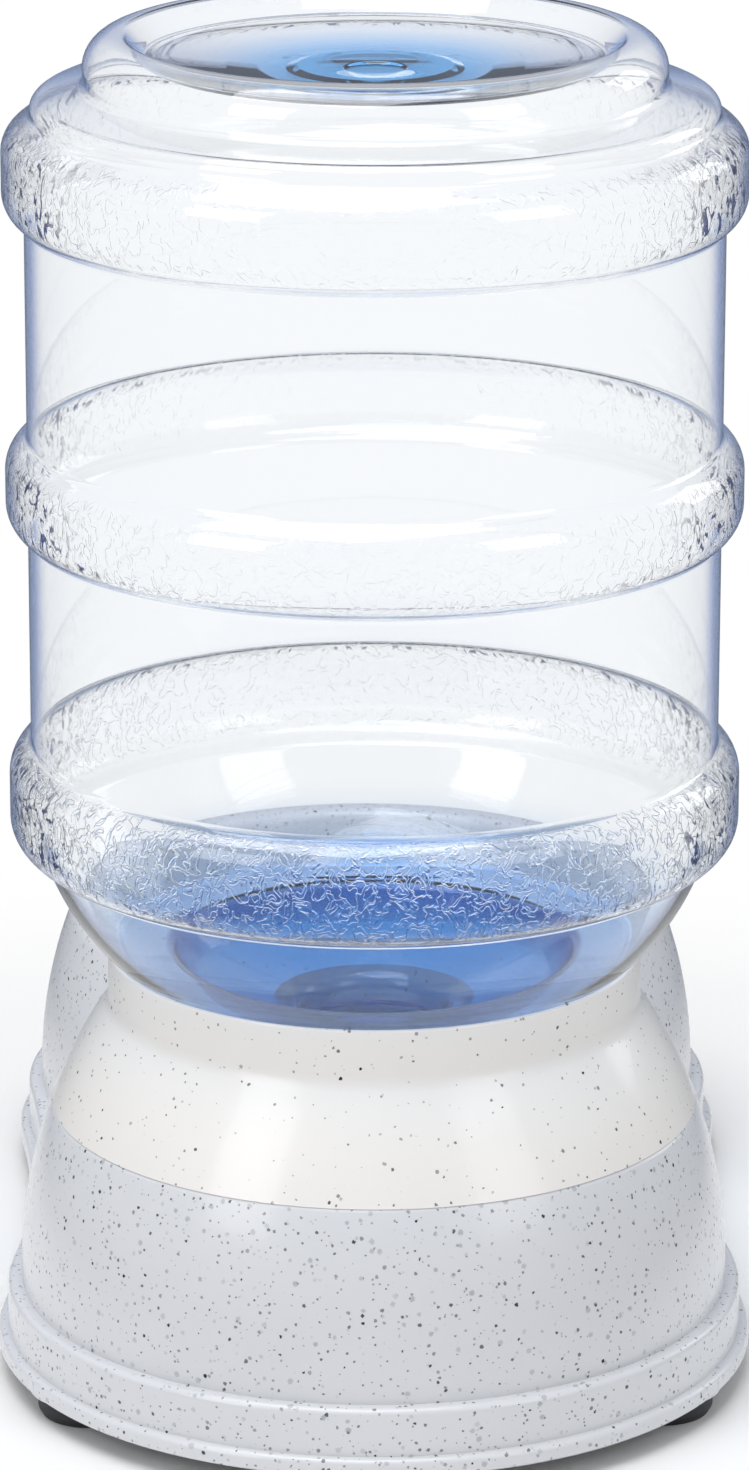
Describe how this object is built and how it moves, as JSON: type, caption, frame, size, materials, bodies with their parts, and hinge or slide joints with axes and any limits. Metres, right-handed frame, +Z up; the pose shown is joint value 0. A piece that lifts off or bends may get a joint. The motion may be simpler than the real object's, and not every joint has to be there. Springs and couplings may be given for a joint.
{
  "type": "gravity pet water dispenser",
  "caption": "Gravity-fed pet waterer: a ribbed clear bottle stands neck-down in a domed hood over a two-lobed base with an open drinking bowl, a lift valve in its cap and rubber feet.",
  "frame": {"origin": "on the floor, under the middle of the two-lobed base", "axes": "+Z up; +Y from the bottle towards the open drinking bowl; +X to the right as seen from behind the bottle"},
  "size_m": [0.274, 0.4878, 0.4898],
  "materials": {
    "base_plastic": "moulded, satin gloss, cool off-white with dark and grey flecks",
    "hood_plastic": "moulded, satin gloss, warm off-white with sparse dark flecks",
    "bottle_plastic": "blown, clear blue tint, stippled ribs",
    "cap_plastic": "moulded, plain",
    "valve_plastic": "moulded, plain",
    "seal_rubber": "soft, smooth",
    "spring_steel": "drawn wire",
    "foot_rubber": "moulded, matt"
  },
  "bodies": {
    "dispenser": {"bowl_base": "base_plastic", "hood": "hood_plastic", "bottle": "bottle_plastic", "bottle_cap": "cap_plastic", "cap_gasket": "seal_rubber", "spring_retainer": "valve_plastic", "valve_spring": "spring_steel", "foot_rear_left": "foot_rubber", "foot_rear_right": "foot_rubber", "foot_front_left": "foot_rubber", "foot_front_right": "foot_rubber"},
    "valve": {"valve_plunger": "valve_plastic", "valve_seal": "seal_rubber"}
  },
  "joints": [
    {"name": "valve_lift", "type": "slide", "parent": "dispenser", "child": "valve", "axis": [0, 0, 1], "range_m": [0, 0.006], "stiffness_N_per_m": 150, "springref_m": -0.012, "deforming": ["valve_spring"]}
  ]
}
